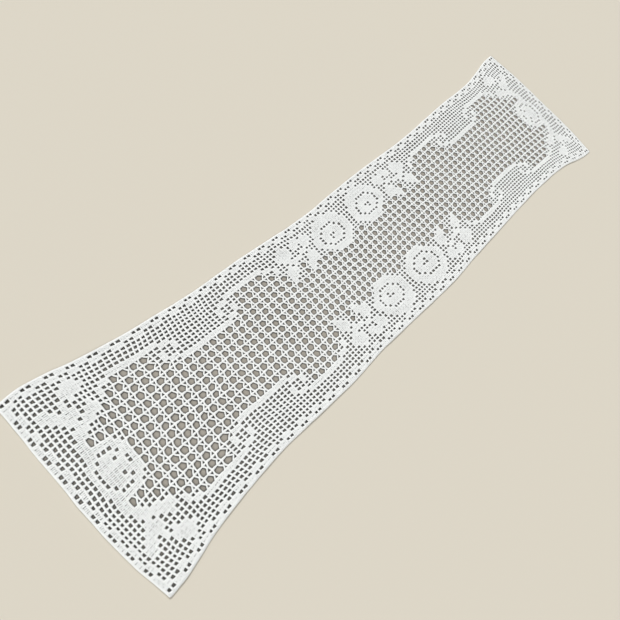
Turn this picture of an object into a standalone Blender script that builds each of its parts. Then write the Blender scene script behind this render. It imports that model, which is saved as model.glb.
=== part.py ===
# Crochet table runner: one flat sheet of openwork cotton, lying on a surface.
#
# The runner is worked on a grid of meshes (across) and rows (along). A short table says where
# that grid lies in the real cloth, which flares at both ends and bows a little in the middle.
# The uneven outline and every gap are laid out on the grid and carried over to the cloth.

from collections import namedtuple

import bpy
import numpy as np

MM = 0.001

# Driving sizes
THICKNESS = 1.6 * MM
HALF_MESHES = 21.5          # from the centre line to the outer edge, edging included
HALF_ROWS = 81.5            # from the centre row to either end, edging included
CORNER_MESHES = 0.9         # how far a corner's rounding reaches along an end
CORNER_ROWS = 0.8           # and along a side
CORNER_STEPS = 3

# Where the worked rows lie, in millimetres. "along" is the row's place on the centre line,
# "left", "middle" and "right" are its ends and centre, and the last four columns say how far
# the row bends away from straight at the left edge, half left, half right and the right edge.
Station = namedtuple("Station", "row along left middle right bend_ll bend_l bend_r bend_rr")
STATIONS = [
    Station(-81.5, -618.0, -164.5, -5.5, 160.5, 3.0, 2.0, 1.0, 9.0),
    Station(-77.0, -587.0, -167.0, -5.0, 158.0, 5.0, 5.0, -3.0, 9.0),
    Station(-72.0, -553.0, -162.0, -4.5, 151.0, 8.0, 8.0, -3.0, 8.0),
    Station(-66.0, -510.5, -153.0, -4.0, 144.0, 6.0, 6.0, -2.0, 3.0),
    Station(-58.0, -445.0, -143.5, -3.5, 137.0, 4.0, 3.0, -3.0, 0.0),
    Station(-50.0, -379.0, -137.0, -3.5, 132.5, 1.0, 1.0, 0.0, 3.0),
    Station(-40.0, -299.5, -131.0, -1.5, 134.5, -2.0, -1.0, 1.0, 2.0),
    Station(-30.0, -220.0, -129.5, 0.5, 137.5, -2.0, 0.0, 0.0, 2.0),
    Station(-20.0, -143.5, -124.5, 2.5, 135.0, 0.0, 0.0, 0.0, 0.0),
    Station(-10.0, -74.0, -121.6, 4.5, 136.5, 0.0, 0.0, 0.0, 0.0),
    Station(0.0, -3.0, -124.5, 4.5, 139.0, 0.0, 0.0, 0.0, 0.0),
    Station(10.0, 72.0, -127.2, 2.5, 140.7, -3.0, -3.0, 2.0, 2.0),
    Station(20.0, 148.0, -127.0, 2.0, 137.0, -4.0, -3.0, 2.0, 1.0),
    Station(30.0, 231.0, -127.3, 2.0, 134.5, -6.0, -3.0, 2.0, 0.0),
    Station(40.0, 313.0, -132.5, 1.5, 132.3, -2.0, -1.0, 2.0, 3.0),
    Station(50.0, 394.0, -137.0, 0.5, 130.8, 0.0, 0.0, 2.0, 3.0),
    Station(58.0, 458.5, -137.5, 0.5, 133.0, -5.0, -1.0, 2.0, 12.0),
    Station(66.0, 517.5, -143.0, 0.0, 138.5, -11.0, -3.0, 4.0, 12.0),
    Station(72.0, 560.5, -151.5, -0.5, 149.0, -13.0, -4.0, 4.0, 8.0),
    Station(77.0, 593.5, -158.0, -0.5, 154.5, -13.0, -4.0, 3.0, 3.0),
    Station(81.5, 626.5, -160.0, -1.0, 157.0, -13.0, -4.0, 1.0, -2.0),
]
BEND_MESHES = (-21.5, -11.0, 0.0, 11.0, 21.5)   # where the four bend columns and the middle sit

# The openwork field, from the centre row out: each zone has so many bands of gaps along the
# cloth, and in each band so many columns of gaps on either side of the centre line.
GAP_MESHES = 3.0
GAP_ROWS = 4.0
Zone = namedtuple("Zone", "bands columns")
ZONES = [
    Zone(3, 2),
    Zone(1, 3),
    Zone(2, 2),
    Zone(1, 3),
    Zone(2, 5),
    Zone(5, 3),
    Zone(2, 5),
    Zone(1, 3),
]

# Single lace gaps beside the flower at each end: the row where one starts and its first mesh.
EndGap = namedtuple("EndGap", "row mesh")
END_GAPS = [EndGap(68.0, 5.0), EndGap(68.0, 7.0), EndGap(70.0, 5.0), EndGap(72.0, 5.0)]
END_GAP_MESHES = 2.0
END_GAP_ROWS = 2.0

# Threads left between gaps, in meshes and rows, and the shape of a gap
THREAD_MESHES = 0.27
THREAD_ROWS = 0.24
SHOULDER = 0.68             # share of a gap's length where its sides turn in to the peak
FOOT_MESHES = 0.45          # the cut corners at a gap's other end
FOOT_ROWS = 0.35

COTTON = (0.80, 0.79, 0.76, 1.0)
COTTON_ROUGHNESS = 0.92


def column(name):
    """One named column of the station table."""
    return np.array([getattr(station, name) for station in STATIONS])


ROWS = column("row")


def smooth(at, places, values):
    """A smooth curve through values at places, read at the points in at."""
    left = np.clip(np.searchsorted(places, at) - 1, 0, len(places) - 2)
    slopes = np.gradient(values, places)
    span = places[left + 1] - places[left]
    t = (at - places[left]) / span
    start = (2 * t**3 - 3 * t**2 + 1) * values[left] + (t**3 - 2 * t**2 + t) * span * slopes[left]
    end = (3 * t**2 - 2 * t**3) * values[left + 1] + (t**3 - t**2) * span * slopes[left + 1]
    return start + end


def bend(mesh, row):
    """How far the worked row lies from straight at each mesh, in millimetres."""
    total = np.zeros_like(row)
    for index, name in ((0, "bend_ll"), (1, "bend_l"), (3, "bend_r"), (4, "bend_rr")):
        reach = np.zeros(len(BEND_MESHES))
        reach[index] = 1.0
        share = smooth(mesh, np.array(BEND_MESHES), reach)
        total += share * smooth(row, ROWS, column(name))
    return total


def cloth(points):
    """Grid points (mesh, row) as places on the cloth, in metres."""
    mesh, row = np.array(points, dtype=float).T
    left = smooth(row, ROWS, column("left"))
    middle = smooth(row, ROWS, column("middle"))
    right = smooth(row, ROWS, column("right"))
    side = mesh / HALF_MESHES
    x = middle + (right - left) / 2 * side + ((right + left) / 2 - middle) * side**2
    y = smooth(row, ROWS, column("along")) + bend(mesh, row)
    return np.column_stack((x, y)) * MM


def corner(side, end):
    """A rounded corner of the grid, from the side towards the end."""
    points = []
    for angle in np.linspace(0.0, np.pi / 2, CORNER_STEPS + 1):
        mesh = HALF_MESHES - CORNER_MESHES * (1 - np.cos(angle))
        row = HALF_ROWS - CORNER_ROWS * (1 - np.sin(angle))
        points.append((side * mesh, end * row))
    return points


def outline():
    """The outer edge on the grid, anticlockwise from the near right corner."""
    side_rows = np.arange(-78.0, 78.1, 4.0)
    end_meshes = np.arange(-18.0, 18.1, 3.0)
    points = corner(1, -1)[::-1]
    points += [(HALF_MESHES, row) for row in side_rows]
    points += corner(1, 1)
    points += [(mesh, HALF_ROWS) for mesh in end_meshes[::-1]]
    points += corner(-1, 1)[::-1]
    points += [(-HALF_MESHES, row) for row in side_rows[::-1]]
    points += corner(-1, -1)
    points += [(mesh, -HALF_ROWS) for mesh in end_meshes]
    return points


def gap(mesh, row, meshes, rows):
    """A house-shaped gap whose cell starts at mesh and row; its peak is at the far end."""
    low = mesh + THREAD_MESHES
    high = mesh + meshes - THREAD_MESHES
    near = row + THREAD_ROWS
    far = row + rows - THREAD_ROWS
    shoulder = near + (far - near) * SHOULDER
    return [
        (low + FOOT_MESHES, near),
        (high - FOOT_MESHES, near),
        (high, near + FOOT_ROWS),
        (high, shoulder),
        ((low + high) / 2, far),
        (low, shoulder),
        (low, near + FOOT_ROWS),
    ]


def field_gaps():
    """The gaps of the openwork field, mirrored about both centre lines."""
    gaps = []
    row = 0.0
    for zone in ZONES:
        for _ in range(zone.bands):
            for index in range(-zone.columns, zone.columns):
                mesh = index * GAP_MESHES
                gaps.append(gap(mesh, row, GAP_MESHES, GAP_ROWS))
                gaps.append(gap(mesh, -row - GAP_ROWS, GAP_MESHES, GAP_ROWS))
            row += GAP_ROWS
    return gaps


def end_gaps():
    """The single lace gaps on both sides of the flower, at both ends."""
    gaps = []
    for spot in END_GAPS:
        for mesh in (spot.mesh, -spot.mesh - END_GAP_MESHES):
            for row in (spot.row, -spot.row - END_GAP_ROWS):
                gaps.append(gap(mesh, row, END_GAP_MESHES, END_GAP_ROWS))
    return gaps


def add_spline(curve, points):
    spline = curve.splines.new("POLY")
    spline.points.add(len(points) - 1)
    for spot, (x, y) in zip(spline.points, points):
        spot.co = (x, y, 0.0, 1.0)
    spline.use_cyclic_u = True


def cotton_material():
    material = bpy.data.materials.new("cotton")
    material.use_nodes = True
    shader = material.node_tree.nodes["Principled BSDF"]
    shader.inputs["Base Color"].default_value = COTTON
    shader.inputs["Roughness"].default_value = COTTON_ROUGHNESS
    shader.inputs["Metallic"].default_value = 0.0
    return material


def make_runner(collection):
    """The whole cloth as one flat sheet, its bounding box centred on the origin."""
    edge = cloth(outline())
    centre = (edge.min(axis=0) + edge.max(axis=0)) / 2
    curve = bpy.data.curves.new("runner", "CURVE")
    curve.dimensions = "2D"
    curve.fill_mode = "BOTH"
    curve.extrude = THICKNESS / 2
    curve.resolution_u = 1
    add_spline(curve, edge - centre)
    for points in field_gaps() + end_gaps():
        add_spline(curve, cloth(points) - centre)
    curve.materials.append(cotton_material())
    runner = bpy.data.objects.new("runner", curve)
    runner.location = (0.0, 0.0, THICKNESS / 2)
    collection.objects.link(runner)
    return runner


def main():
    for old in list(bpy.data.objects):
        bpy.data.objects.remove(old, do_unlink=True)
    collection = bpy.data.collections.new("crochet_table_runner")
    bpy.context.scene.collection.children.link(collection)
    make_runner(collection)


main()
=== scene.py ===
# Looks of the crochet table runner: every stitch of the cloth, its cotton, the floor and the light.
#
# The cloth is charted on a grid of meshes (across, u) and rows (along, v), both counted from the
# middle. Each worked row runs from v + 1 at its foot to v at its head, towards the near end.
from collections import namedtuple

import bpy
import numpy as np
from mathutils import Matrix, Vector


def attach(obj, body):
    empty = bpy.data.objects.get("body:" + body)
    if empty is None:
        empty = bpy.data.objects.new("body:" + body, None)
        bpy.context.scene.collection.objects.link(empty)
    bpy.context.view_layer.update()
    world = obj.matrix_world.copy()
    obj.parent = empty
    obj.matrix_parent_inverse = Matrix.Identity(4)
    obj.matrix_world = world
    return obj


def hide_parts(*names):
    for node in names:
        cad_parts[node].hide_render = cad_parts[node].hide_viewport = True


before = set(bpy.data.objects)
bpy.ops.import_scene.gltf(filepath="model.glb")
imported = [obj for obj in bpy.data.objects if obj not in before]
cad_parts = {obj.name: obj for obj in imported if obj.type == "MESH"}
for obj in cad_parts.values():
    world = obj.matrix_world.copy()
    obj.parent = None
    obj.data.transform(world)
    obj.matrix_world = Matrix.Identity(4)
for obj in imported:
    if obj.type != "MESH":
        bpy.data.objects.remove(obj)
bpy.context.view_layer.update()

MM = 0.001

# The grid

SIDE = 21                   # meshes on either side of the centre line
END = 81                    # rows on either side of the centre row
HALF_MESHES = 21.5          # from the centre line to the outer edge, edging included
MARGIN = 2                  # posts and rows that the net is worked out for beyond the last ones

# Where the worked rows lie, in millimetres. "along" is the row's place on the centre line,
# "left", "middle" and "right" are its ends and centre, and the last four columns say how far
# the row bends away from straight at the left edge, half left, half right and the right edge.
Station = namedtuple("Station", "row along left middle right bend_ll bend_l bend_r bend_rr")
STATIONS = [
    Station(-81.5, -618.0, -164.5, -5.5, 160.5, 3.0, 2.0, 1.0, 9.0),
    Station(-77.0, -587.0, -167.0, -5.0, 158.0, 5.0, 5.0, -3.0, 9.0),
    Station(-72.0, -553.0, -162.0, -4.5, 151.0, 8.0, 8.0, -3.0, 8.0),
    Station(-66.0, -510.5, -153.0, -4.0, 144.0, 6.0, 6.0, -2.0, 3.0),
    Station(-58.0, -445.0, -143.5, -3.5, 137.0, 4.0, 3.0, -3.0, 0.0),
    Station(-50.0, -379.0, -137.0, -3.5, 132.5, 1.0, 1.0, 0.0, 3.0),
    Station(-40.0, -299.5, -131.0, -1.5, 134.5, -2.0, -1.0, 1.0, 2.0),
    Station(-30.0, -220.0, -129.5, 0.5, 137.5, -2.0, 0.0, 0.0, 2.0),
    Station(-20.0, -143.5, -124.5, 2.5, 135.0, 0.0, 0.0, 0.0, 0.0),
    Station(-10.0, -74.0, -121.6, 4.5, 136.5, 0.0, 0.0, 0.0, 0.0),
    Station(0.0, -3.0, -124.5, 4.5, 139.0, 0.0, 0.0, 0.0, 0.0),
    Station(10.0, 72.0, -127.2, 2.5, 140.7, -3.0, -3.0, 2.0, 2.0),
    Station(20.0, 148.0, -127.0, 2.0, 137.0, -4.0, -3.0, 2.0, 1.0),
    Station(30.0, 231.0, -127.3, 2.0, 134.5, -6.0, -3.0, 2.0, 0.0),
    Station(40.0, 313.0, -132.5, 1.5, 132.3, -2.0, -1.0, 2.0, 3.0),
    Station(50.0, 394.0, -137.0, 0.5, 130.8, 0.0, 0.0, 2.0, 3.0),
    Station(58.0, 458.5, -137.5, 0.5, 133.0, -5.0, -1.0, 2.0, 12.0),
    Station(66.0, 517.5, -143.0, 0.0, 138.5, -11.0, -3.0, 4.0, 12.0),
    Station(72.0, 560.5, -151.5, -0.5, 149.0, -13.0, -4.0, 4.0, 8.0),
    Station(77.0, 593.5, -158.0, -0.5, 154.5, -13.0, -4.0, 3.0, 3.0),
    Station(81.5, 626.5, -160.0, -1.0, 157.0, -13.0, -4.0, 1.0, -2.0),
]
BEND_MESHES = (-21.5, -11.0, 0.0, 11.0, 21.5)   # where the four bend columns and the middle sit
CENTRE = (-3.46, 4.72)      # the middle of the cloth's box in the table above, in millimetres

# Where the hand-made net drifts from even rows and posts, as soft bumps: the middle
# of each, how far it reaches across and along, and how far it moves the net there. A rise moves
# rows towards the far end, in rows, and a pull moves posts to the right, in meshes.
Drift = namedtuple("Drift", "mesh row meshes rows rise pull")
DRIFTS = [
    Drift(-21, -55, 4, 16, 1.0, 0.0),
    Drift(-21, -5, 4, 24, -0.5, -0.25),
    Drift(-21, 58, 6, 14, -1.5, 0.0),
    Drift(21, -58, 4, 16, 1.0, 0.0),
    Drift(21, 8, 6, 22, 1.5, 0.0),
    Drift(21, 66, 4, 12, -1.0, 0.0),
    Drift(-11, -78, 8, 12, 0.0, -0.5),
    Drift(11, -78, 8, 12, 0.0, 0.5),
    Drift(11, -42, 8, 12, 0.0, 0.5),
    Drift(-11, -3, 8, 18, 0.0, 0.5),
    Drift(11, 0, 8, 16, 0.0, -0.25),
    Drift(-11, 58, 8, 20, 0.0, -0.5),
    Drift(11, 64, 8, 18, 0.0, 0.5),
]

# How the hand-made net strays from its grid, in millimetres
STRAY_X = 0.55
STRAY_Y = 0.75
STRAY_PASSES = 3            # smoothing of the larger strays
SHAKE = 0.2                 # stitch by stitch
EDGE_CALM = 0.4             # share of the strays left along the edge
EDGE_LINES = 4              # posts and rows that count as the edge, with those of the margin
SEED = 7

# Height of the threads' middle over the surface, in millimetres
REST = 0.86
RIPPLE = 0.26
EDGE_RIPPLE = 0.5

# How long the ripples are across and along the cloth, in millimetres to a radian
LONG_ACROSS = 41
LONG_ALONG = 67
SHORT_ACROSS = 23
SHORT_ALONG = 31
SHORT_SHARE = 0.6           # height of the short ripples against the long ones
SWELL_ALONG = 53            # the long ripples grow and fade along the cloth
SWELL_START = 1.3           # in radians
FLUTTER_ALONG = 19          # the edges' own ripples
FLUTTER_FROM = 0.86         # share of the half width where they start
FLUTTER_APART = 3           # half the shift between the two sides, in radians
SWAY_ALONG = 71             # the edges' ripples lie closer and wider by turns
SWAY = 2.1                  # by so much, in radians

# What a mesh of the chart can be
OPEN, SOLID, LACY = 0, 1, 2

# The lace field from the centre row out: each zone is so many pairs of rows long and reaches so
# many meshes to either side of the centre line.
Zone = namedtuple("Zone", "pairs meshes")
ZONES = [
    Zone(1, 9), Zone(4, 7), Zone(3, 9), Zone(1, 7), Zone(1, 11),
    Zone(2, 7), Zone(1, 11), Zone(1, 13), Zone(4, 15), Zone(1, 11),
    Zone(8, 9), Zone(1, 11), Zone(4, 15), Zone(1, 13), Zone(1, 11),
]

# Single lace meshes beside the flower at each end: first row and centre mesh line
EndLace = namedtuple("EndLace", "row mesh")
END_LACE = [EndLace(68, 6), EndLace(68, 8), EndLace(70, 6), EndLace(72, 6)]

# Filled bars beside the lace field: mesh, first row, and the row after the last
Bar = namedtuple("Bar", "mesh start stop")
BARS = [Bar(9, 40, 52), Bar(15, 28, 38), Bar(15, 54, 64)]

# The scrolls between the bars and the corners beyond the outer bars: filled meshes, by mesh and by
# step in rows from where the motif starts. Each motif starts at two rows, and its steps run
# outward (1) from one and inward (-1) from the other.
Mark = namedtuple("Mark", "mesh step")
Start = namedtuple("Start", "row way")
SCROLL = [
    Mark(11, 1), Mark(12, 1), Mark(10, 2), Mark(14, 2), Mark(10, 3), Mark(14, 3),
    Mark(9, 4), Mark(12, 4), Mark(13, 4),
]
SCROLL_STARTS = [Start(36, 1), Start(55, -1)]
CORNER = [Mark(14, -1), Mark(14, 0), Mark(12, 1), Mark(13, 1)]
CORNER_STARTS = [Start(26, -1), Start(65, 1)]

# A rose with leaves on a curving stem, one quarter of the pair on each long side. Columns are
# meshes from SPRAY_MESH outward, lines are rows from SPRAY_ROW outward. # is a filled mesh.
SPRAY_MESH = 7
SPRAY_ROW = 1
SPRAY = """
...#####....
..########..
.###...####.
###.###.###.
##.#####.###
##.##.##.###
##.#..##.###
##.#####.##.
.##.###.###.
..##...###..
...######...
....###.....
........##..
..###..####.
..####.###..
.####.#..##.
###...#.###.
.....#..##..
.....#......
....##.###..
..##.######.
.####.####..
####...##...
............
.....##.....
"""

# A rose on the centre line and leaves beside it, one half of each end. Columns are meshes from
# the centre line outward, lines are rows from BOUQUET_ROW outward.
BOUQUET_ROW = 68
BOUQUET = """
###.......##....#..
.###......###..###.
##.##....###...####
#.#.#....##...####.
###.#...##.##..##..
###.#..########....
##.######.###......
..#####....###.....
###.........###....
.............##....
"""


def column(name):
    """One named column of the station table."""
    return np.array([getattr(line, name) for line in STATIONS])


def smooth(at, places, values):
    """A smooth curve through values at places, read at the points in at."""
    left = np.clip(np.searchsorted(places, at) - 1, 0, len(places) - 2)
    slopes = np.gradient(values, places)
    span = places[left + 1] - places[left]
    t = (at - places[left]) / span
    start = (2 * t**3 - 3 * t**2 + 1) * values[left] + (t**3 - 2 * t**2 + t) * span * slopes[left]
    end = (3 * t**2 - 2 * t**3) * values[left + 1] + (t**3 - t**2) * span * slopes[left + 1]
    return start + end


def station(name, row):
    """One column of the station table, read smoothly at any row."""
    return smooth(row, column("row"), column(name))


def bend(mesh, row):
    """How far the worked row lies from straight at each mesh, in millimetres."""
    total = np.zeros_like(row)
    for index, name in ((0, "bend_ll"), (1, "bend_l"), (3, "bend_r"), (4, "bend_rr")):
        reach = np.eye(len(BEND_MESHES))[index]
        total += smooth(mesh, np.array(BEND_MESHES), reach) * station(name, row)
    return total


def even_cloth(mesh, row):
    """Points of the even grid as places on the cloth, in millimetres."""
    left, middle, right = (station(name, row) for name in ("left", "middle", "right"))
    side = mesh / HALF_MESHES
    x = middle + (right - left) / 2 * side + ((right + left) / 2 - middle) * side**2 - CENTRE[0]
    y = station("along", row) + bend(mesh, row) - CENTRE[1]
    return x, y


def soften(field, passes):
    """A field of random numbers smoothed over its neighbours, brought back to a spread of one."""
    for _ in range(passes):
        for axis in (0, 1):
            field = (np.roll(field, 1, axis) + 2 * field + np.roll(field, -1, axis)) / 4
    return field / field.std()


def stray_fields():
    """How far each crossing of the net strays across and along, in millimetres."""
    rng = np.random.default_rng(SEED)
    shape = (2 * (SIDE + MARGIN) + 1, 2 * (END + MARGIN) + 1)
    fields = []
    for amount in (STRAY_X, STRAY_Y):
        large = soften(rng.normal(size=shape), STRAY_PASSES) * amount
        field = large + rng.normal(size=shape) * SHAKE
        for edge in (slice(None, EDGE_LINES), slice(-EDGE_LINES, None)):
            field[edge] *= EDGE_CALM
            field[:, edge] *= EDGE_CALM
        fields.append(field)
    return fields


def net_places():
    """Where every crossing of the net lies on the cloth, in millimetres."""
    side, end = SIDE + MARGIN, END + MARGIN
    mesh, row = np.mgrid[-side:side + 1, -end:end + 1].astype(float)
    rise, pull = np.zeros_like(mesh), np.zeros_like(mesh)
    for bump in DRIFTS:
        share = np.exp(-((mesh - bump.mesh) / bump.meshes)**2 - ((row - bump.row) / bump.rows)**2)
        rise += bump.rise * share
        pull += bump.pull * share
    x, y = even_cloth(mesh + pull, row + rise)
    stray_x, stray_y = stray_fields()
    return x + stray_x, y + stray_y


NET_X, NET_Y = net_places()


def read_grid(field, mesh, row):
    """A field kept at the crossings of the net, read between them."""
    a, b = mesh + SIDE + MARGIN, row + END + MARGIN
    i, j = a.astype(int), b.astype(int)
    s, t = a - i, b - j
    near = field[i, j] * (1 - s) + field[i + 1, j] * s
    far = field[i, j + 1] * (1 - s) + field[i + 1, j + 1] * s
    return near * (1 - t) + far * t


def lift(x, y, side):
    """Height of the net's middle over the surface, in millimetres: slow ripples, more at the edges."""
    wave = np.sin(x / LONG_ACROSS + y / LONG_ALONG) * np.sin(y / SWELL_ALONG - SWELL_START)
    wave += SHORT_SHARE * np.sin(x / SHORT_ACROSS - y / SHORT_ALONG)
    edge = np.clip((np.abs(side) - FLUTTER_FROM) / (1 - FLUTTER_FROM), 0, 1) ** 2
    sway = SWAY * np.sin(y / SWAY_ALONG) + FLUTTER_APART * np.sign(side)
    flutter = 0.5 + 0.5 * np.sin(y / FLUTTER_ALONG + sway)
    return REST + RIPPLE * (0.5 + 0.5 * np.clip(wave, -1, 1)) + EDGE_RIPPLE * edge * flutter


def cloth(mesh, row):
    """Points of the net as places on the cloth, in metres."""
    mesh, row = np.broadcast_arrays(np.asarray(mesh, float), np.asarray(row, float))
    x = read_grid(NET_X, mesh, row)
    y = read_grid(NET_Y, mesh, row)
    return np.stack((x, y, lift(x, y, mesh / HALF_MESHES)), axis=-1) * MM


def mirrored(mesh, row):
    """The four cells that one cell of a quarter stands for."""
    return [(m, r) for m in (mesh, -1 - mesh) for r in (row, -1 - row)]


def lace_units():
    """Lace meshes, two meshes wide and two rows long: (centre mesh line, lower row line)."""
    units = []
    row = 0
    for zone in ZONES:
        for _ in range(zone.pairs):
            for mesh in range(1 - zone.meshes, zone.meshes, 2):
                units += [(mesh, row), (mesh, -row - 2)]
            row += 2
    for spot in END_LACE:
        for mesh in (spot.mesh, -spot.mesh):
            units += [(mesh, spot.row), (mesh, -spot.row - 2)]
    return units


def frame_cells():
    """Filled meshes of the bars, scrolls and corners that frame the lace field."""
    filled = [(bar.mesh, row) for bar in BARS for row in range(bar.start, bar.stop)]
    for marks, starts in ((SCROLL, SCROLL_STARTS), (CORNER, CORNER_STARTS)):
        filled += [(mark.mesh, start.row + start.way * mark.step)
                   for start in starts for mark in marks]
    return filled


def motif_cells(text, first_mesh, first_row):
    """Filled meshes of a charted motif."""
    return [(first_mesh + i, first_row + j) for j, line in enumerate(text.split())
            for i, mark in enumerate(line) if mark == "#"]


def fill_motifs(cells):
    """Fill the meshes of every motif, in all four quarters."""
    filled = motif_cells(SPRAY, SPRAY_MESH, SPRAY_ROW)
    filled += motif_cells(BOUQUET, 0, BOUQUET_ROW)
    filled += frame_cells()
    for mesh, row in filled:
        for m, r in mirrored(mesh, row):
            cells[m + SIDE, r + END] = SOLID


def fill_border(cells):
    """Fill the two outer lines of meshes by turns: two meshes of one, then two of the other."""
    for row in range(-END, END):
        for outer, inner in ((SIDE - 1, SIDE - 2), (-SIDE, 1 - SIDE)):
            mesh = inner if (row + 1) // 2 % 2 == 0 else outer
            cells[mesh + SIDE, row + END] = SOLID
    for mesh in range(SIDE - 2):
        for row, turn in ((END - 1, 0), (END - 2, 1)):
            state = SOLID if (mesh + 1) // 2 % 2 != turn else OPEN
            for m, r in mirrored(mesh, row):
                cells[m + SIDE, r + END] = state


def chart(units):
    """What each mesh of the grid holds, by [mesh + SIDE, row + END]."""
    cells = np.full((2 * SIDE, 2 * END), OPEN)
    fill_motifs(cells)
    fill_border(cells)
    for mesh, row in units:
        cells[mesh - 1 + SIDE:mesh + 1 + SIDE, row + END:row + 2 + END] = LACY
    return cells


LaceLines = namedtuple("LaceLines", "centre middle sag")


def lace_lines(units):
    """Which post lines run through the middle of a lace mesh, which row lines are left out there,
    and how far each row line sags over each mesh, in rows."""
    centre = np.zeros((2 * SIDE + 1, 2 * END), dtype=bool)
    middle = np.zeros((2 * SIDE, 2 * END + 1), dtype=bool)
    sag = np.zeros((2 * SIDE, 2 * END + 1))
    for mesh, row in units:
        both = slice(mesh - 1 + SIDE, mesh + 1 + SIDE)
        centre[mesh + SIDE, row + END:row + 2 + END] = True
        middle[both, row + 1 + END] = True
        sag[both, row + END] = SAG if (mesh, row - 2) in units else SAG_ALONE
    return LaceLines(centre, middle, sag)


# Threads
SIDES = 6                   # flat sides of a thread
THREAD_MAP = "thread"       # the UV map along and around the threads
PLY_LOBE = 0.08             # how deep the two plies of a double crochet show in its shape
PLY_SPIN = 0.5              # how fast they turn, against the wraps


class Threads:
    """Collects strands of thread and turns them into one mesh."""

    def __init__(self):
        self.count = 0
        self.points, self.quads, self.caps, self.quad_uv, self.cap_uv = [], [], [], [], []

    def strand(self, path, width, height, turns, lobe=0.0, spin=0.0, ring=False):
        """A thread along path, flattened to its half width and half height. turns is the twist's
        place at each point, lobe how deep its two plies show in the shape, and spin how fast
        they turn with the twist. A ring closes on itself."""
        n, sides = len(path), SIDES
        along = np.roll(path, -1, 0) - np.roll(path, 1, 0) if ring else np.gradient(path, axis=0)
        along[:, 2] = 0
        along /= np.linalg.norm(along, axis=1, keepdims=True)
        across = np.column_stack((-along[:, 1], along[:, 0], np.zeros(n)))
        angle = np.arange(sides) * 2 * np.pi / sides
        swell = 1 + lobe * np.cos(2 * (angle[None, :] - spin * 2 * np.pi * turns[:, None]))
        flat = (width[:, None] * swell * np.cos(angle))[..., None] * across[:, None, :]
        tall = (height[:, None] * swell * np.sin(angle))[..., None] * np.array([0.0, 0.0, 1.0])
        self.points.append((path[:, None, :] + flat + tall).reshape(-1, 3))
        base = self.count
        spans = n if ring else n - 1
        i = np.arange(spans)[:, None]
        j = np.arange(sides)[None, :]
        after, around = (i + 1) % n, (j + 1) % sides
        quad = np.stack(np.broadcast_arrays(base + i * sides + j, base + after * sides + j,
                                            base + after * sides + around,
                                            base + i * sides + around), axis=-1)
        self.quads.append(quad.reshape(-1, 4))
        ends = np.append(turns, 2 * turns[-1] - turns[-2])
        here, there = ends[i], ends[i + 1]
        low, high = j / sides, (j + 1) / sides
        uv = [np.stack(np.broadcast_arrays(a, b), axis=-1)
              for a, b in ((here, low), (there, low), (there, high), (here, high))]
        self.quad_uv.append(np.stack(uv, axis=-2).reshape(-1, 4, 2))
        if not ring:
            first = base + np.arange(sides)
            last = base + (n - 1) * sides + np.arange(sides)[::-1]
            for cap, turn in ((first, turns[0]), (last, turns[-1])):
                self.caps.append(cap)
                self.cap_uv.append(np.column_stack((np.full(sides, turn), np.arange(sides) / sides)))
        self.count += n * sides

    def build(self, name, material):
        """The strands as one smooth mesh object with a UV map along and around the threads."""
        points = np.concatenate(self.points)
        quads = np.concatenate(self.quads)
        loops, uv = [quads.ravel()], [np.concatenate(self.quad_uv).reshape(-1, 2)]
        totals = [np.full(len(quads), 4)]
        if self.caps:
            loops.append(np.concatenate(self.caps))
            uv.append(np.concatenate(self.cap_uv))
            totals.append(np.full(len(self.caps), SIDES))
        loops, totals, uv = np.concatenate(loops), np.concatenate(totals), np.concatenate(uv)
        mesh = bpy.data.meshes.new(name)
        mesh.vertices.add(len(points))
        mesh.vertices.foreach_set("co", points.ravel())
        mesh.loops.add(len(loops))
        mesh.loops.foreach_set("vertex_index", loops)
        mesh.polygons.add(len(totals))
        starts = np.concatenate(([0], np.cumsum(totals)[:-1]))
        mesh.polygons.foreach_set("loop_start", starts)
        mesh.polygons.foreach_set("loop_total", totals)
        mesh.polygons.foreach_set("use_smooth", np.ones(len(totals), dtype=bool))
        layer = mesh.uv_layers.new(name=THREAD_MAP)
        layer.data.foreach_set("uv", uv.ravel())
        mesh.update(calc_edges=True)
        mesh.validate()
        mesh.materials.append(material)
        piece = bpy.data.objects.new(name, mesh)
        bpy.context.scene.collection.objects.link(piece)
        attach(piece, "root")
        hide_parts("runner")
        return piece


def runs(present):
    """Stretches of True in a row of flags, as (first, last + 1)."""
    edges = np.flatnonzero(np.diff(np.concatenate(([0], present.astype(int), [0]))))
    return list(zip(edges[::2], edges[1::2]))


# A thread's shape along one stitch or mesh: the place from its start (0) to its end (1), and the
# half width, half height and rise there, in millimetres
Ring = namedtuple("Ring", "place width height rise")

# The double crochet between two meshes, from its foot to its head
POST = [
    Ring(0.00, 1.70, 0.77, 0.12),
    Ring(0.18, 1.14, 0.71, 0.00),
    Ring(0.70, 1.70, 0.77, 0.04),
]
WITHIN_BLOCK = 0.72         # share of its width that it keeps between two filled meshes

# The double crochets in a filled mesh
BLOCK_POST = [
    Ring(0.00, 1.10, 0.68, 0.06),
    Ring(0.24, 0.98, 0.70, 0.04),
    Ring(0.50, 1.20, 0.76, 0.10),
    Ring(0.76, 0.84, 0.70, 0.04),
    Ring(1.02, 1.12, 0.66, 0.06),
]
BLOCK_PLACES = (1 / 3, 2 / 3)   # where they stand across the mesh
BLOCK_LEAN = 0.02           # how much their feet and heads stray sideways, in meshes

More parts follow.
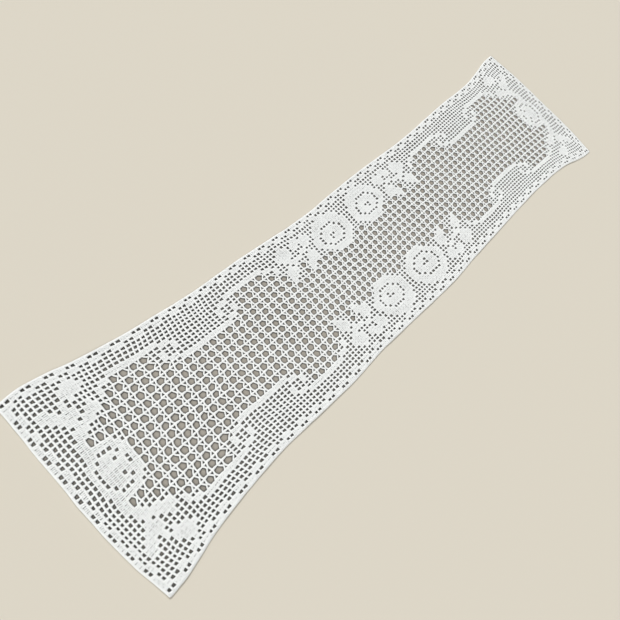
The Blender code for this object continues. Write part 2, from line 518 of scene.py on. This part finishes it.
# Heads of filled meshes, chains of open ones, and chains of lace bars, over one mesh
HEADS = [
    Ring(0.0, 1.15, 0.68, 0.12),
    Ring(1 / 6, 0.92, 0.62, 0.05),
    Ring(2 / 6, 1.12, 0.68, 0.12),
    Ring(3 / 6, 0.92, 0.62, 0.05),
    Ring(4 / 6, 1.12, 0.68, 0.12),
    Ring(5 / 6, 0.92, 0.62, 0.05),
]
CHAIN = [
    Ring(0.00, 1.76, 0.74, 0.22),
    Ring(0.25, 1.56, 0.68, 0.08),
    Ring(0.50, 1.48, 0.63, 0.05),
    Ring(0.75, 1.56, 0.68, 0.08),
]
BAR = [
    Ring(0.00, 1.60, 0.71, 0.15),
    Ring(0.22, 1.42, 0.68, 0.06),
    Ring(0.50, 1.32, 0.64, 0.05),
    Ring(0.78, 1.38, 0.68, 0.06),
]
SAG = 0.30                  # how far a lace bar sags where lace pulls on it, in rows
SAG_ALONE = 0.12            # and where filled or open meshes follow
SAG_POWER = 2.2             # how flat its middle hangs

POST_TURNS = 3              # wraps that show along one double crochet
CHAIN_TURNS = 3             # stitches that show along one mesh
USUAL_MESH = 6.5            # mesh width that the half widths are meant for, in millimetres


def raised(points, rise):
    """Points lifted by rise, in millimetres."""
    points = points.copy()
    points[:, 2] += np.asarray(rise) * MM
    return points


def fullness(row):
    """How much wider or narrower than usual the meshes are at each row."""
    row = np.asarray(row, dtype=float)
    left, right = (station(name, row) for name in ("left", "right"))
    return np.sqrt((right - left) / (2 * HALF_MESHES) / USUAL_MESH)


def make_posts(cells, lace):
    """The double crochets between meshes, worked from the far end: one strand a column."""
    threads = Threads()
    rings = np.array(POST)
    for line in range(-SIDE, SIDE + 1):
        present = np.ones(2 * END, dtype=bool)
        share = np.ones(2 * END)
        if -SIDE < line < SIDE:
            left, right = cells[line - 1 + SIDE], cells[line + SIDE]
            present = ~((left == LACY) & (right == LACY) & lace.centre[line + SIDE])
            share[(left == SOLID) & (right == SOLID)] = WITHIN_BLOCK
        for first, last in runs(present):
            rows = np.arange(last - 1, first - 1, -1) - END
            v = (rows[:, None] + 1 - rings[None, :, 0]).ravel()
            v = np.append(v, first - END)
            reps = len(rows)
            width, height, rise = (np.append(np.tile(rings[:, k], reps), rings[0, k]) * unit
                                   for k, unit in ((1, MM), (2, MM), (3, 1)))
            path = raised(cloth(np.full(len(v), float(line)), v), rise)
            turns = POST_TURNS * (v[0] - v)
            width = width * fullness(v) * np.interp(-v, -rows - 0.5, share[rows + END])
            threads.strand(path, width, height, turns, lobe=PLY_LOBE, spin=PLY_SPIN)
    return threads


def make_blocks(cells):
    """The two double crochets that fill each solid mesh."""
    threads = Threads()
    rings = np.array(BLOCK_POST)
    vary = np.random.default_rng(SEED + 1)
    for mesh, row in np.argwhere(cells == SOLID) - (SIDE, END):
        for place in BLOCK_PLACES:
            lean = vary.normal(size=2) * BLOCK_LEAN
            u = mesh + place + lean[0] + (lean[1] - lean[0]) * rings[:, 0]
            path = raised(cloth(u, row + 1 - rings[:, 0]), rings[:, 3])
            width = rings[:, 1] * MM * fullness(np.full(len(u), float(row)))
            turns = POST_TURNS * rings[:, 0]
            threads.strand(path, width, rings[:, 2] * MM, turns, lobe=PLY_LOBE, spin=PLY_SPIN)
    return threads


def chain_rings(cells, lace, first, last, line):
    """The rings of the heads and chains over meshes first to last of a row line, each with its
    place across, in meshes, and how far it sags, in rows."""
    row = min(line, END - 1)
    u, drop, rings = [], [], []
    for mesh in range(first, last):
        sag = lace.sag[mesh, line + END]
        table = HEADS if cells[mesh, row + END] == SOLID else BAR if sag else CHAIN
        for ring in table:
            from_middle = ring.place if mesh % 2 else 1 - ring.place
            u.append(mesh - SIDE + ring.place)
            drop.append(sag * (1 - from_middle**SAG_POWER))
        rings += table
    u.append(last - SIDE)
    drop.append(0.0)
    rings.append(CHAIN[0])
    return np.array(u, dtype=float), np.array(drop), np.array(rings)


def make_chains(cells, lace, low, high):
    """The heads and chains along each row line from low to high: one strand a stretch."""
    threads = Threads()
    for line in range(low, high + 1):
        for first, last in runs(~lace.middle[:, line + END]):
            u, drop, rings = chain_rings(cells, lace, first, last, line)
            path = raised(cloth(u, line - drop), rings[:, 3])
            threads.strand(path, rings[:, 1] * MM, rings[:, 2] * MM, CHAIN_TURNS * (u - u[0]))
    return threads


# The arms of a lace mesh, a strand from post to post with its peak in the middle: how far sideways
# in meshes, how much of the way down from the peak, and half width and half height in millimetres
Arm = namedtuple("Arm", "reach fall width height")
ARMS = [
    Arm(-1.00, 1.00, 1.42, 0.66),
    Arm(-0.76, 0.82, 1.30, 0.63),
    Arm(-0.50, 0.56, 1.22, 0.61),
    Arm(-0.25, 0.27, 1.27, 0.64),
    Arm(0.00, 0.00, 1.38, 0.68),
    Arm(0.25, 0.27, 1.27, 0.64),
    Arm(0.50, 0.56, 1.22, 0.61),
    Arm(0.76, 0.82, 1.30, 0.63),
    Arm(1.00, 1.00, 1.42, 0.66),
]
ARMS_PEAK = 0.28            # the arms' peak below the bar's middle, in rows
ARMS_END = 1.08             # where the arms meet the posts, in rows below the bar's ends
ARMS_RISE = 0.1             # in millimetres
ARM_BULGE = 0.05            # how much an arm bulges up or down, in rows
PEAK_LEAN = 0.04            # how much the peak strays sideways, in meshes

# The single crochet from the bar's middle (0) to the arms' peak (1)
TIE = [Ring(-0.05, 1.15, 0.68, 0.05), Ring(0.50, 1.05, 0.70, 0.10), Ring(1.05, 1.15, 0.64, 0.08)]


def make_lace(units, lace):
    """The arms of each lace mesh, and the single crochet that ties their peak to the bar."""
    threads = Threads()
    reach, fall, width, height = np.array(ARMS).T
    tie = np.array(TIE)
    vary = np.random.default_rng(SEED + 2)
    for mesh, row in units:
        top = lace.sag[mesh + SIDE, row + 2 + END]
        start = top + ARMS_PEAK
        drop = start + (ARMS_END - start) * fall
        bulge = np.where(reach < 0, *(vary.normal(size=2) * ARM_BULGE))
        bow = np.sin(np.pi * np.abs(reach)) * bulge
        lean = vary.normal() * PEAK_LEAN
        u = mesh + reach + lean * (1 - np.abs(reach))
        path = raised(cloth(u, row + 2 - drop + bow), ARMS_RISE)
        threads.strand(path, width * MM, height * MM, CHAIN_TURNS * reach)
        down = top + ARMS_PEAK * tie[:, 0]
        path = raised(cloth(mesh + lean * tie[:, 0], row + 2 - down), tie[:, 3])
        threads.strand(path, tie[:, 1] * MM, tie[:, 2] * MM, tie[:, 0])
    return threads


# The edging: short single crochets from the last posts (0) out to the rim (1), and the rim, the
# chain along their heads. Steps and places are in meshes along an end, in rows along a side.
STUB = [Ring(-0.12, 1.10, 0.65, 0.00), Ring(0.45, 1.20, 0.71, 0.06), Ring(1.00, 1.15, 0.63, 0.02)]
STUB_STEP = 1 / 3
RIM_STEP = 1 / 6
RIM = 0.20                  # how far outside the last post the rim's middle runs
RIM_RIGHT = 0.34            # and on the right side, where the edging lies wider
RIM_WIDTH = 0.90            # half the rim's width, in millimetres
RIM_HEIGHT = 0.60
RIM_SWELL = 0.16            # how much wider its stitches are than the necks between them
CORNER_TURNS = (22.5, 45.0, 67.5)   # where the edging stands on the corners, in degrees


def rim_points(step):
    """Grid points round the cloth's edge, with the direction that points outward."""
    side = np.arange(-END + step / 2, END, step)
    end = np.arange(-SIDE + step / 2, SIDE, step)
    quarter = np.radians(CORNER_TURNS)
    points = []

    def corner(su, sv, angles):
        """Points on one corner post, with directions that fan out round it."""
        return [(su * SIDE, sv * END, su * np.cos(a), sv * np.sin(a)) for a in angles]

    points += [(SIDE, v, 1.0, 0.0) for v in side]
    points += corner(1, 1, quarter)
    points += [(u, END, 0.0, 1.0) for u in end[::-1]]
    points += corner(-1, 1, quarter[::-1])
    points += [(-SIDE, v, -1.0, 0.0) for v in side[::-1]]
    points += corner(-1, -1, quarter)
    points += [(u, -END, 0.0, -1.0) for u in end]
    points += corner(1, -1, quarter[::-1])
    return np.array(points)


def rim_reach(outward):
    """How far the rim's middle runs from the last post, by its direction across the cloth."""
    return RIM + (RIM_RIGHT - RIM) * np.clip(outward, 0, 1)


def make_edging():
    """Single crochets set outward from the last posts, and the rim that joins their heads."""
    threads = Threads()
    stubs = np.array(STUB)
    for u, v, du, dv in rim_points(STUB_STEP):
        out = stubs[:, 0] * rim_reach(du)
        path = raised(cloth(u + du * out, v + dv * out), stubs[:, 3])
        threads.strand(path, stubs[:, 1] * MM, stubs[:, 2] * MM, stubs[:, 0])
    u, v, du, dv = rim_points(RIM_STEP).T
    reach = rim_reach(du)
    path = cloth(u + reach * du, v + reach * dv)
    turns = np.arange(len(path)) / 2
    swell = (1 + RIM_SWELL * np.cos(2 * np.pi * turns)) * MM
    threads.strand(path, RIM_WIDTH * swell, RIM_HEIGHT * swell, turns, ring=True)
    return threads


# The cotton
COTTON = (0.81, 0.825, 0.82)
COTTON_DULL = 0.95          # share of its brightness that the cotton keeps where it is dullest
COTTON_SURFACE = {
    "Roughness": 0.9, "Specular IOR Level": 0.25, "Sheen Weight": 0.15, "Sheen Roughness": 0.5,
}
TONE_NOISE = {"Scale": 45.0, "Detail": 3.0}
TONE_FROM, TONE_TO = 0.3, 0.7   # the noise where the cotton is dullest, and where it is brightest
PLIES = 1                   # wraps that start side by side round the thread
PLY_BUMP = {"Strength": 1.0, "Distance": 0.12 * MM}
FIBRE_NOISE = {"Scale": 1800.0, "Detail": 2.0}
FIBRE_BUMP = {"Strength": 0.5, "Distance": 0.25 * MM}


def new_material(name, surface):
    """A material with its shader's inputs set."""
    material = bpy.data.materials.new(name)
    material.use_nodes = True
    shader = material.node_tree.nodes["Principled BSDF"]
    for key, value in surface.items():
        shader.inputs[key].default_value = value
    return material, shader


def add_node(material, kind, inputs=None):
    """A new shader node with some of its inputs set."""
    node = material.node_tree.nodes.new("ShaderNode" + kind)
    for key, value in (inputs or {}).items():
        node.inputs[key].default_value = value
    return node


def add_math(material, operation, inputs=None):
    """A new node that works out a number."""
    node = add_node(material, "Math", inputs)
    node.operation = operation
    return node


def add_ramp(material, *stops):
    """A new node that turns a number into a colour, from its stops: (place, colour)."""
    node = add_node(material, "ValToRGB")
    for element, (place, colour) in zip(node.color_ramp.elements, stops):
        element.position = place
        element.color = colour
    return node


def cotton_material(name):
    """Matte cotton thread: plied wraps round it, fine fibres, and a faint unevenness of tone."""
    material, shader = new_material(name, COTTON_SURFACE)
    link = material.node_tree.links.new
    place = add_node(material, "TexCoord")

    tone = add_node(material, "TexNoise", TONE_NOISE)
    dull = tuple(c * COTTON_DULL for c in COTTON) + (1.0,)
    ramp = add_ramp(material, (TONE_FROM, dull), (TONE_TO, COTTON + (1.0,)))
    link(place.outputs["Object"], tone.inputs["Vector"])
    link(tone.outputs["Fac"], ramp.inputs["Fac"])
    link(ramp.outputs["Color"], shader.inputs["Base Color"])

    uv = add_node(material, "UVMap")
    uv.uv_map = THREAD_MAP
    split = add_node(material, "SeparateXYZ")
    around = add_math(material, "MULTIPLY_ADD", {1: PLIES})
    turn = add_math(material, "MULTIPLY", {1: 2 * np.pi})
    wave = add_math(material, "SINE")
    link(uv.outputs["UV"], split.inputs["Vector"])
    link(split.outputs["Y"], around.inputs[0])
    link(split.outputs["X"], around.inputs[2])
    link(around.outputs["Value"], turn.inputs[0])
    link(turn.outputs["Value"], wave.inputs[0])

    fibre = add_node(material, "TexNoise", FIBRE_NOISE)
    ply_bump = add_node(material, "Bump", PLY_BUMP)
    fibre_bump = add_node(material, "Bump", FIBRE_BUMP)
    link(place.outputs["Object"], fibre.inputs["Vector"])
    link(wave.outputs["Value"], ply_bump.inputs["Height"])
    link(fibre.outputs["Fac"], fibre_bump.inputs["Height"])
    link(ply_bump.outputs["Normal"], fibre_bump.inputs["Normal"])
    link(fibre_bump.outputs["Normal"], shader.inputs["Normal"])
    return material


# The floor, and a sheet on it under the cloth, coloured darker as painted shade
FLOOR_REACH = 6.0           # from the middle to each side, in metres
FLOOR_COLOUR = (0.606, 0.568, 0.488, 1.0)
FLOOR_SURFACE = {"Roughness": 0.95, "Specular IOR Level": 0.1}
# Painted shade: the sheet under the cloth is coloured darker for the shade that the cloth casts on it
PAINTED_UNDER_CLOTH_SHADE = (0.345, 0.320, 0.280, 1.0)
SHADED_MESHES = 21.2        # how far the shaded surface reaches under the cloth
SHADED_ROWS = 81.2
SHADED_HEIGHT = 0.05 * MM
SHADED_SIDE_POINTS = 120
SHADED_END_POINTS = 40

# Painted shade, darkest where threads stand close round it: how near they count, and how open a
# place is where the painted deep shade starts to give way and where the shaded colour is full
PAINTED_DEEP_SHADE = (0.055, 0.056, 0.054, 1.0)
PAINTED_SHADE_REACH = 4.5 * MM
PAINTED_SHADE_FROM, PAINTED_SHADE_TO = 0.73, 0.92
PAINTED_SHADE_SAMPLES = 8


def stage_piece(name, points, colour, painted_shade=None):
    """A flat matte surface that isn't part of the runner, with painted shade: another colour where
    things that stand close round it keep the light off."""
    mesh = bpy.data.meshes.new(name)
    mesh.from_pydata([tuple(point) for point in points], [], [tuple(range(len(points)))])
    piece = bpy.data.objects.new(name, mesh)
    bpy.context.scene.collection.objects.link(piece)
    material, shader = new_material(name, FLOOR_SURFACE)
    shader.inputs["Base Color"].default_value = colour
    if painted_shade:
        link = material.node_tree.links.new
        # painted shade: how open each place is turns its colour darker between the threads
        openness = add_node(material, "AmbientOcclusion", {"Distance": PAINTED_SHADE_REACH})
        openness.samples = PAINTED_SHADE_SAMPLES
        ramp = add_ramp(material, (PAINTED_SHADE_FROM, painted_shade), (PAINTED_SHADE_TO, colour))
        link(openness.outputs["AO"], ramp.inputs["Fac"])
        link(ramp.outputs["Color"], shader.inputs["Base Color"])
    mesh.materials.append(material)


def make_floor():
    """A plain pale surface, with the cloth's shade painted on a darker sheet under it."""
    corners = ((-1, -1), (1, -1), (1, 1), (-1, 1))
    points = [(x * FLOOR_REACH, y * FLOOR_REACH, 0.0) for x, y in corners]
    stage_piece("floor", points, FLOOR_COLOUR)
    rows = np.linspace(-SHADED_ROWS, SHADED_ROWS, SHADED_SIDE_POINTS)
    meshes = np.linspace(-SHADED_MESHES, SHADED_MESHES, SHADED_END_POINTS)
    around = [(SHADED_MESHES, row) for row in rows]
    around += [(mesh, SHADED_ROWS) for mesh in meshes[::-1]]
    around += [(-SHADED_MESHES, row) for row in rows[::-1]]
    around += [(mesh, -SHADED_ROWS) for mesh in meshes]
    points = cloth(*np.array(around).T)
    points[:, 2] = SHADED_HEIGHT
    # painted shade under the cloth, on a darker sheet
    stage_piece("painted_shade_under_cloth", points, PAINTED_UNDER_CLOTH_SHADE, PAINTED_DEEP_SHADE)


# The lamps: where the light comes from, how strong it is, and how soft, in degrees
Lamp = namedtuple("Lamp", "name source strength degrees")
LAMPS = [
    Lamp("key", (-0.85, 0.50, 0.64), 3.32, 8.0),
    Lamp("fill", (0.30, -1.00, 0.42), 2.85, 25.0),
]
LAMP_COLOUR = (1.0, 0.985, 0.955)
SKY_STRENGTH = 0.29
SKY_COLOUR = (0.95, 0.98, 1.02, 1.0)


def make_light():
    """A key light from the far left, a soft fill from the near right, and an even sky."""
    for lamp in LAMPS:
        light = bpy.data.lights.new(lamp.name, "SUN")
        light.energy = lamp.strength
        light.color = LAMP_COLOUR
        light.angle = np.radians(lamp.degrees)
        piece = bpy.data.objects.new(lamp.name, light)
        bpy.context.scene.collection.objects.link(piece)
        piece.rotation_euler = Vector(lamp.source).to_track_quat("Z", "Y").to_euler()
    world = bpy.data.worlds.new("sky")
    world.use_nodes = True
    background = world.node_tree.nodes["Background"]
    background.inputs["Color"].default_value = SKY_COLOUR
    background.inputs["Strength"].default_value = SKY_STRENGTH
    bpy.context.scene.world = world


# The camera: its place in metres, its turn in degrees, its lens and sensor in millimetres
CAMERA_AT = (0.0597, -0.6188, 0.7881)
CAMERA_TURN = (22.288, -18.372, 44.167)
CAMERA_LENS = 32.43
CAMERA_SENSOR = 36.0


def make_camera():
    """The photo's view: from above the near end, with the far end at the top right."""
    data = bpy.data.cameras.new("camera")
    data.lens = CAMERA_LENS
    data.sensor_width = CAMERA_SENSOR
    camera = bpy.data.objects.new("camera", data)
    camera.location = CAMERA_AT
    camera.rotation_euler = np.radians(CAMERA_TURN)
    bpy.context.scene.collection.objects.link(camera)
    bpy.context.scene.camera = camera


make_camera()
units = lace_units()
cells = chart(units)
lace = lace_lines(units)
cotton = cotton_material("cotton")
posts = make_posts(cells, lace).build("posts", cotton)
others = [
    make_blocks(cells).build("blocks", cotton),
    make_chains(cells, lace, -END, -1).build("chains_near", cotton),
    make_chains(cells, lace, 0, END).build("chains_far", cotton),
    make_lace(units, lace).build("lace", cotton),
    make_edging().build("edging", cotton),
]

make_floor()
make_light()
bpy.context.scene.view_settings.view_transform = "Standard"
